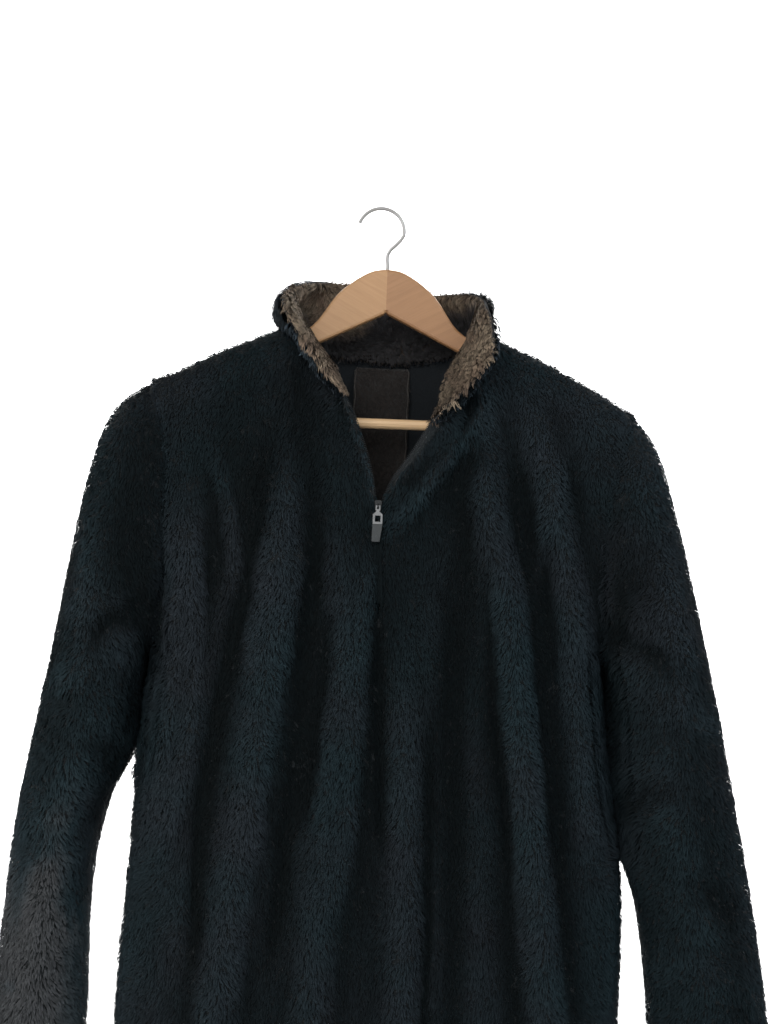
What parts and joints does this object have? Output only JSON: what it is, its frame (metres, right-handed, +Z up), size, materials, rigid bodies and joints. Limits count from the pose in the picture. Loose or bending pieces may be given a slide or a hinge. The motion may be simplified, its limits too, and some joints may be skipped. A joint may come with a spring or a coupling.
{
  "type": "half-zip fleece pullover on a wooden clothes hanger",
  "caption": "Long-sleeved pullover in long-pile fleece with a stand collar and a half-length front zip, hanging open at the neck on a wooden hanger with a trouser bar and a wire hook.",
  "frame": {"origin": "inner side of the hook's crest, where it hangs on its rail", "axes": "+Z up, -Y towards the viewer of the garment's front, +X to that viewer's right"},
  "size_m": [0.748, 0.1439, 0.8187],
  "materials": {
    "fleece": "long-pile blue-black sherpa fleece, combed down",
    "lining": "brown long-pile fleece",
    "facing": "dark brown-grey woven facing cloth",
    "tape": "dark zip tape with moulded teeth",
    "nickel": "satin nickel plate",
    "grip": "matte grey",
    "wood": "clear-lacquered light wood",
    "bar": "clear-lacquered light wood",
    "steel": "plated wire"
  },
  "bodies": {
    "garment": {"front": "fleece", "back": "fleece", "neck_facing": "facing", "sleeve_left": "fleece", "sleeve_right": "fleece", "collar_shell": "fleece", "collar_lining": "lining", "zip_left": "tape", "zip_right": "tape", "slider": "nickel", "hanger_left": "wood", "hanger_right": "wood", "trouser_bar": "bar", "hook": "steel"},
    "zip_pull": {"pull_frame": "nickel", "pull_grip": "grip"}
  },
  "joints": [
    {"name": "zip_pull_swing", "type": "hinge", "parent": "garment", "child": "zip_pull", "pos_m": [0.0055, -0.05832, -0.284], "axis": [-1, 0, 0], "range_deg": [0, 160]}
  ]
}
